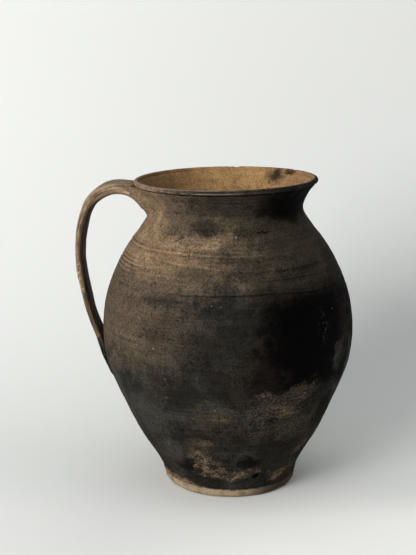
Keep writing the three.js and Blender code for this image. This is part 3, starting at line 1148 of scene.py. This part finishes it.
# %% Low on the wall: painted sheen, smoke, flaked patches and the edge above the foot
# Painted sheen: grey low on the left of the belly and along its right edge.
lay(GREY_SMOKE_AND_SHEEN, (-44, 82, 48, 50), (-70, 84, 40, 50, 0, 0.8), (74, 116, 12, 40),
    (60, 127, 14, 18), (-34, 50, 26, 20), bite=0.5, strength=0.95)
lay(BROWN, (-60, 119, 24, 20), bite=0.5, strength=0.5)
lay(SOOT_AND_SHADE, (15, 117, 20, 19), bite=0.3, strength=0.6)
lay(OLIVE_BROWN, (28, 96, 46, 20, -24, 0.6), (36, 76, 40, 26, -10, 0.8), (-6, 86, 30, 22, 0, 0.9),
    (-16, 52, 30, 20), bite=1.2, strength=0.8)
lay(CHARCOAL, (24, 80, 12, 12), (44, 84, 10, 16), (6, 62, 16, 12), (14, 98, 8, 8), bite=1.5)
lay(BROWN, (29.4, 89, 15, 11), (20, 106, 18, 6), (-2, 86, 12, 8), (37, 97, 12, 8),
    (54, 42, 14, 9), (-12, 60, 10, 8, 30), bite=2, strength=0.55)
lay(CHARCOAL, (-1, 55, 24, 9), bite=0.4, strength=0.8, on=frayed)
lay(BROWN, (-13, 38, 24, 12, 32), (9, 25, 24, 12), (44, 20, 34, 9), bite=1.4, strength=0.75)
lay(TAN, (-13, 37, 14, 8, 32), (-19, 47, 5, 9, -16), (10, 25, 17, 8), (44, 18, 26, 6),
    (-14, 27, 18, 10, 20), bite=1.8, strength=0.6)
lay(TAN, (-66, 8, 60, 10, 0, 0.7), (-24, 5, 40, 6, 0, 0.7), (8, 3, 30, 5, 0, 0.7), (-110, 6, 60, 6, 0, 0.7),
    bite=1.0, strength=0.8, on=frayed)
lay(SOOT_AND_SHADE, (21.7, 21, 4.5, 3.5, 0, 0.5), bite=0.2, on=frayed)
# Painted shadow: a thin dark line along the crack, above its pale edge.
lay(SOOT_AND_SHADE, (-30, 228.6, 9, 1.2, -28, 0.6), bite=0.3, strength=0.7, on=frayed)
lay(ASH, (-33, 226.4, 6, 0.9, -32, 0.6), (-31.6, 144.7, 1.3, 1.2, 0, 0.5), (8, 231, 1.2, 1, 0, 0.5),
    bite=0, on=place)
lay(ASH, (-5.4, 181.8, 1.1, 0.9, 0, 0.7), (-1.2, 181.2, 0.9, 0.9, 0, 0.7), bite=0, strength=0.5, on=place)
tell("spots")

# %% [markdown]
# ## Scars and specks
#
# Knocks have broken the black skin in places, so that ash-coloured grains show
# through, and small dots of ash and soot lie everywhere. The dots are the
# middles of Voronoi cells, of which only a few are chosen.


# %% Scars in six places, dots all over
def dots(place, size, share, radius):
    """Small round dots: 1 on a dot. Share says how many of the cells hold one."""
    cells = node("TexVoronoi", {"Vector": place, "Scale": 1 / (size * MM)})
    dot = soft_step(cells.outputs["Distance"], radius, radius * 0.55)
    chosen = sides_of(cells.outputs["Color"])["X"]
    return times(dot, soft_step(chosen, 1 - share, 1 - share + 0.01))


scars = spots(frayed, (48, 158, 10, 24, 0, 0.9), (66, 142, 10, 14, 0, 0.9), (-38, 160, 12, 14, 0, 0.9),
              (-3, 226, 12, 7, 0, 0.9), (8, 197, 12, 8, 0, 0.9), (30, 86, 24, 18))
coat(ASH, scars, soft_step(cloud(frayed, 2.2, 4), 0.56, 0.68), 0.4)
coat(ASH, dots(frayed, size=8, share=0.10, radius=0.12), 0.8)
coat(SOOT_AND_SHADE, dots(place, size=4, share=0.14, radius=0.2), 0.7)
tell("scars and dots")

# %% [markdown]
# ## Light and dark in the clay, painted shade and highlight on its lines
#
# Under the smoke the clay is coarse. Fine lines from the wheel, grain of three
# sizes and, low on the wall, loose crumbs make each colour lighter and darker
# by turns. Painted shade darkens the scored lines, and a painted highlight
# lightens the burrs beside them.

# %% Make the skin lighter and darker by grain
drawn_out = node("Mapping", {"Vector": place, "Scale": (9, 9, 420)}).outputs["Vector"]
wheel_lines = cloud(drawn_out, 1000, 4)
fine_grain = cloud(place, 1.2, 2)
crumbly = spots(torn, (28, 84, 54, 44, 0, 0.6), (-8, 32, 50, 24, 0, 0.6))
crumbs = plus(cloud(place, 1.6, 3), -0.5)
scored = node("Attribute", attribute_name="scored_lines_mark").outputs["Fac"]
burr = node("Attribute", attribute_name="burrs_mark").outputs["Fac"]
EVEN_LIGHT, LEAST_LIGHT = 1.7, 0.2
# With the grain, painted shade in the scored lines and a painted highlight on their burrs.
light_and_dark = plus(times(wheel_lines, 1.0), times(fine_grain, 2.0), times(grain, 1.2),
                      times(mottle, 1.2), -EVEN_LIGHT, times(crumbly, crumbs, 5),
                      times(scored, -0.4), times(burr, 0.35))
light_and_dark = most(light_and_dark, LEAST_LIGHT)
skin = brightened(skin, light_and_dark)
tell("with grain")

# %% [markdown]
# ## The lip's edge
#
# A painted highlight lies along the lip's crest and the edge under it, most on
# the handle's side, and painted shade darkens the groove below them. Three
# level lines of the true height draw them.


# %% Painted highlight on the crest, painted shade in the groove
def thin_line(middle, half_width):
    """1 along a level line, 0 at half_width above and below it, in millimetres."""
    away = node("Math", {0: plus(exact_level, -middle * MM)}, operation="ABSOLUTE").outputs[0]
    return soft_step(away, half_width * MM, half_width * MM * 0.3)


CREST, LOWER_EDGE, GROOVE = 269.6, 266.7, 264.9
CREST_FROM, CREST_FULLY = 0.2688, 0.2694
# Painted highlight: the crest and the edge under it are paler, most towards the handle's side.
lip_highlight_share = plus(times(towards(50, -20), 0.95), 0.03)
lip_highlight_share = times(lip_highlight_share, soft_step(mottle, 0.36, 0.52))
edge_lines = most(thin_line(CREST, 1.0), times(thin_line(LOWER_EDGE, 0.8), 0.8),
                  soft_step(exact_level, CREST_FROM, CREST_FULLY))
coat(LIP_HIGHLIGHT, edge_lines, lip_highlight_share, 0.9)
# Painted shade: a dark line in the groove under the lip.
coat(SOOT_AND_SHADE, thin_line(GROOVE, 0.9), 0.7)
outside_skin = skin

# %% [markdown]
# ## Inside the mouth
#
# The inside burned clean: tan, redder on the right, with one charred patch near
# the far lip. Painted shade makes it browner on the left, where the rim's
# shadow falls, and darker further down. It is painted as a skin of its own, and
# the depth that each point noted before chooses between the two.

# %% Tan clay inside
SHADE_INSIDE_FROM, SHADE_INSIDE_FULL = 0.228, 0.15
skin = paint(INSIDE_TAN, INSIDE_BROWN, soft_step(cloud(place, 16, 5), 0.48, 0.80))
# Painted shade: the left of the inside is browner.
coat(INSIDE_BROWN, towards(0, -76), 0.85)
coat(INSIDE_RED, towards(20, 70), 0.8)
coat(INSIDE_CHAR, bitten(spots(frayed, (141, 263, 17, 12), (131, 267, 18, 5)), 0.5), 0.95)
# Painted shade: the inside grows darker further down.
coat(DARK_BROWN, soft_step(level, SHADE_INSIDE_FROM, SHADE_INSIDE_FULL))
inside_skin = brightened(skin, plus(times(light_and_dark, 0.75), 0.25))
depth = node("Attribute", attribute_name="depth_in_wall").outputs["Fac"]
depth_torn = plus(depth, times(plus(grain, -0.5), 0.3))
skin = paint(outside_skin, inside_skin, soft_step(depth_torn, 0.62, 0.74))

# %% [markdown]
# ## Roughness and grit
#
# Fired clay is dull, a little less so where smoke has closed its pores. The
# roughness follows the mottling, and the bump is the same grain that lightens
# and darkens the clay, so that light and relief agree.


# %% Join a finish to its shader
def join_shader(roughness, relief, relief_depth, shine):
    """Give the finish in hand its colour, roughness and bump."""
    bump = node("Bump", {"Height": relief, "Strength": relief_depth, "Distance": relief_depth * MM})
    shader = in_hand.node_tree.nodes["Principled BSDF"]
    for key, value in (("Base Color", skin), ("Roughness", roughness), ("Normal", bump.outputs["Normal"])):
        in_hand.node_tree.links.new(value, shader.inputs[key])
    shader.inputs["Specular IOR Level"].default_value = shine
    tell(in_hand.name)


join_shader(roughness=soft_step(mottle, 0.3, 0.7, "LINEAR", 0.58, 0.86),
            relief=plus(times(grain, 0.6), times(fine_grain, 0.25), times(wheel_lines, 0.35)),
            relief_depth=0.6, shine=0.02)

# %% [markdown]
# ## The bare foot
#
# The foot's edge is rubbed back to the pale clay, with pits, and dark on the
# right. A torn dark band also runs near its top, except at the left.

# %% Pale clay, rubbed bare
bare = new_finish("bare_clay")
place = node("TexCoord").outputs["Object"]
to_the_right = sides_of(place)["X"]
skin = paint(BARE_PALE, BARE_BROWN, soft_step(cloud(place, 12, 5), 0.45, 0.7))
coat(BARE_DARK, soft_step(to_the_right, 0.005, 0.04), 0.85)
pits = soft_step(cloud(place, 2.5, 4), 0.6, 0.72)
coat(DARK_BROWN, pits, 0.7)
foot_level = sides_of(ragged(place, size=5, amount=2.5))["Z"]
dark_top_band = soft_step(foot_level, 6.8 * MM, 8.4 * MM)
coat(CHARCOAL, dark_top_band, soft_step(to_the_right, -0.035, -0.015), 0.85)
join_shader(roughness=soft_step(pits, 0, 1, "LINEAR", 0.78, 0.92), relief=cloud(place, 2, 4),
            relief_depth=0.7, shine=0.05)

# %% [markdown]
# ## The handle
#
# The strap is the part that hands keep clean: tan on top, with dark grooves and
# pale ridges that run with it, patches where its skin has peeled, and a dark
# inner face, partly sooty and partly painted shade, darkest underneath. Its
# streaks must bend with it, so they are read from the two UV maps that remember
# the straight strap: along, across and through it, in metres.

# %% Places on the straight strap
handled = new_finish("handle_clay")
place = node("TexCoord").outputs["Object"]
along, across, _ = sides_of(node("UVMap", uv_map="along_across").outputs["UV"])
through = sides_of(node("UVMap", uv_map="along_through").outputs["UV"])["Y"]


def drawn_along(stretch):
    """A place on the strap whose patterns are drawn out along it."""
    return node("CombineXYZ", {"X": times(along, stretch), "Y": across, "Z": through}).outputs["Vector"]


streaks = cloud(drawn_along(0.16), 2.6, 4)
grooves = cloud(drawn_along(0.03), 1.7, 2)
mottle = cloud(place, 9, 5)
grain = cloud(place, 2.2, 4)
flecks = grit(place, 7, 2)
tell("places on the strap")

# %% Coats of the handle, from the root down
skin = paint(STRAP_TAN, BROWN, times(soft_step(mottle, 0.50, 0.66), 0.8))
coat(PALE_TAN, soft_step(streaks, 0.50, 0.66), 0.5)
coat(BROWN, soft_step(streaks, 0.50, 0.36), 0.5)
coat(STRAP_GROOVE, soft_step(grooves, 0.52, 0.62), 0.75)
coat(STRAP_RIDGE, soft_step(grooves, 0.46, 0.36), 0.45)
coat(PALE_TAN, soft_step(along, 0.085, 0.05), soft_step(along, 0.012, 0.03), flecks, 0.7)
coat(STRAP_PEELED, soft_step(along, 0.100, 0.112), soft_step(along, 0.150, 0.140),
     soft_step(flecks, 0.52, 0.62), 0.9)
coat(DARK_BROWN, soft_step(along, 0.095, 0.125), soft_step(cloud(place, 13, 4), 0.52, 0.62), 0.85)
# Painted shade over some soot: the inner face, towards the pot, is darkened, and its underside more.
ragged_through = plus(through, times(plus(mottle, -0.5), 0.005))
inner = times(soft_step(ragged_through, 0.0014, -0.0012), soft_step(along, 0.035, 0.07))
coat(STRAP_INNER_SOOT_AND_SHADE, inner, 0.9)
coat(STRAP_UNDER_SHADE, soft_step(through, -0.003, -0.0055), inner, 0.8)
coat(STRAP_EDGE, soft_step(through, 0.0034, 0.0052), 0.5)
ragged_along = plus(along, times(plus(flecks, -0.5), 0.03))
coat(BROWN, soft_step(ragged_along, 0.13, 0.19), 0.8)
light_and_dark = plus(times(grain, 1.0), times(streaks, 2.4), times(mottle, 1.2), -1.2)
skin = brightened(skin, most(light_and_dark, 0.25))
join_shader(roughness=soft_step(mottle, 0.3, 0.7, "LINEAR", 0.6, 0.85),
            relief=plus(times(streaks, 0.7), grain), relief_depth=0.6, shine=0.12)

# %% Give each piece its finish
for piece, finish in ((foot, bare), (belly, smoked), (shoulder, smoked), (neck, smoked),
                      (strap, handled), (upper_luting, smoked), (lower_luting, smoked)):
    piece.data.materials.clear()
    piece.data.materials.append(finish)
    print(piece.name, "is finished in", finish.name)

# %% [markdown]
# ## The table
#
# The pot stands on a pale sheet of paper that sweeps up close behind it, so
# that the ground has no edge. The sheet starts as a plane, its back edge is
# extruded upwards, and a wide bevel rounds the fold. A second sheet lies flat
# behind the fold, for the views from there.

# %% A sheet that sweeps up, and one behind it
TABLE_WIDTH, TABLE_DEPTH, SWEEP_HEIGHT = 24.0, 14.0, 2.4
BACK_EDGE, SWEEP_RADIUS, SWEEP_STEPS = 0.45, 0.4, 24
NEAR = 0.01


def sheet(name, middle):
    """A flat sheet whose middle lies that far behind the pot."""
    bpy.ops.mesh.primitive_plane_add(size=1, location=(0, 0, 0))
    piece = named(name)
    piece.scale = (TABLE_WIDTH, TABLE_DEPTH, 1)
    piece.location = (0, middle, 0)
    set_place(piece)
    return piece


def edit_back_edge(piece, behind, height):
    """Enter edit mode with only the edge that lies at the back edge and at that height selected."""
    points = piece.data.vertices
    for face in piece.data.polygons:
        face.select = False
    for vertex in points:
        vertex.select = vertex.co.y > behind and abs(vertex.co.z) < height
    for edge in piece.data.edges:
        edge.select = all(points[index].select for index in edge.vertices)
    edit(everything=False)
    bpy.ops.mesh.select_mode(type="EDGE")


floor = sheet("floor", BACK_EDGE - TABLE_DEPTH / 2)
edit_back_edge(floor, BACK_EDGE - NEAR, NEAR)
bpy.ops.mesh.extrude_region_move(TRANSFORM_OT_translate={"value": (0, 0, SWEEP_HEIGHT)})
leave()
edit_back_edge(floor, BACK_EDGE - NEAR, NEAR)
bpy.ops.mesh.bevel(offset=SWEEP_RADIUS, segments=SWEEP_STEPS, affect="EDGES")
leave()
shade(floor)
table_behind = sheet("floor_behind", BACK_EDGE - SWEEP_RADIUS + TABLE_DEPTH / 2)
print("faces of the sheet that look up or forward:",
      sum(face.normal.z > -NEAR and face.normal.y < NEAR for face in floor.data.polygons))

# %% [markdown]
# ## Pale paper
#
# The paper carries a painted pool of light at the front right, where the room
# opens. It has one side only: from behind it is clear, or it would hide the pot
# in the views from there. To the eye it also fades out far from the pot, but it
# still throws its light back, so that the pot looks the same.

# %% One-sided paper that fades far away
PAPER_SHADED = colour(0.70, 0.71, 0.69)
PAPER_LIT = colour(0.96, 0.955, 0.92)
PAPER_ROUGHNESS = 0.9
FADE_FROM, FADE_TO = 1.4, 3.2
paper = new_finish("pale_paper")
place = node("TexCoord").outputs["Object"]
paper_x, paper_y, _ = sides_of(place)
# Painted light: the paper is paler towards the front right.
sunlit = times(soft_step(paper_y, -0.01, -0.11), plus(times(soft_step(paper_x, -0.12, 0.06), 0.75), 0.25))
skin = paint(PAPER_SHADED, PAPER_LIT, sunlit)
matt = paper.node_tree.nodes["Principled BSDF"]
paper.node_tree.links.new(skin, matt.inputs["Base Color"])
matt.inputs["Roughness"].default_value = PAPER_ROUGHNESS
from_the_pot = node("VectorMath", {0: place}, operation="LENGTH").outputs["Value"]
to_the_eye = node("LightPath").outputs["Is Camera Ray"]
seen_far_away = times(soft_step(from_the_pot, FADE_FROM, FADE_TO), to_the_eye)
not_there = most(node("NewGeometry").outputs["Backfacing"], seen_far_away)
clear = node("BsdfTransparent").outputs["BSDF"]
one_sided = node("MixShader", {0: not_there, 1: matt.outputs["BSDF"], 2: clear}).outputs["Shader"]
paper.node_tree.links.new(one_sided, paper.node_tree.nodes["Material Output"].inputs["Surface"])
for piece in (floor, table_behind):
    piece.data.materials.append(paper)
tell("pale paper")

# %% [markdown]
# ## The light
#
# One large soft light stands at the left, as a window would, and its wide face
# gives the pot's shadow a soft edge. The pale room fills the shadows, more from
# above than from the side. What is looked at past the paper is a plain pale
# wall.

# %% Window light
WINDOW_PLACE, WINDOW_AIM = Vector((-1.75, -2.1, 1.15)), Vector((0, 0, 0.12))
WINDOW_WIDTH, WINDOW_HEIGHT, WINDOW_WATTS = 1.3, 1.8, 84
bpy.ops.object.light_add(type="AREA", location=WINDOW_PLACE)
window = bpy.context.object
window.name = "window"
window.rotation_euler = (WINDOW_AIM - WINDOW_PLACE).to_track_quat("-Z", "Y").to_euler()
window.data.shape = "RECTANGLE"
window.data.size = WINDOW_WIDTH
window.data.size_y = WINDOW_HEIGHT
window.data.energy = WINDOW_WATTS
window.data.color = (1, 0.985, 0.96)
window.visible_camera = False
print("the window stands", round((WINDOW_AIM - WINDOW_PLACE).length, 2), "m away")

# %% The pale room
ROOM_LOW, ROOM_HIGH = 0.18, 0.74
ROOM_COLOUR = colour(0.93, 0.95, 1)
FAR_WALL_COLOUR = colour(0.66, 0.67, 0.66)
room = bpy.data.worlds.new("room")
room.use_nodes = True
in_hand = room
glow = room.node_tree.nodes["Background"]
glow.inputs["Color"].default_value = ROOM_COLOUR
upward = sides_of(node("TexCoord").outputs["Generated"])["Z"]
strength = soft_step(upward, 0, 1, "LINEAR", ROOM_LOW, ROOM_HIGH)
room.node_tree.links.new(strength, glow.inputs["Strength"])
far_wall = node("Background", {"Color": FAR_WALL_COLOUR})
looked_at = node("LightPath").outputs["Is Camera Ray"]
either = node("MixShader", {0: looked_at, 1: glow.outputs["Background"], 2: far_wall.outputs["Background"]})
room.node_tree.links.new(either.outputs["Shader"], room.node_tree.nodes["World Output"].inputs["Surface"])
scene = bpy.context.scene
scene.world = room
scene.view_settings.view_transform = "Standard"
print("the room is", ROOM_HIGH / ROOM_LOW, "times brighter overhead than at the side")

# %% [markdown]
# ## The camera
#
# The viewer stands a little less than a metre away and looks down at the pot
# by about 13 degrees.

# %% Place the camera
EYE = (0.02127, -0.94107, 0.3973)
LOOKING_DOWN, TURNED_LEFT = 90 - 77.094, 2.5
LENS, FILM_WIDTH = 71.62, 36
camera_data = bpy.data.cameras.new("viewer")
camera_data.lens = LENS
camera_data.sensor_width = FILM_WIDTH
camera = bpy.data.objects.new("viewer", camera_data)
camera.location = EYE
camera.rotation_euler = (math.radians(90 - LOOKING_DOWN), 0, math.radians(TURNED_LEFT))
scene.collection.objects.link(camera)
scene.camera = camera
print("the camera looks down by", round(LOOKING_DOWN, 1), "degrees")
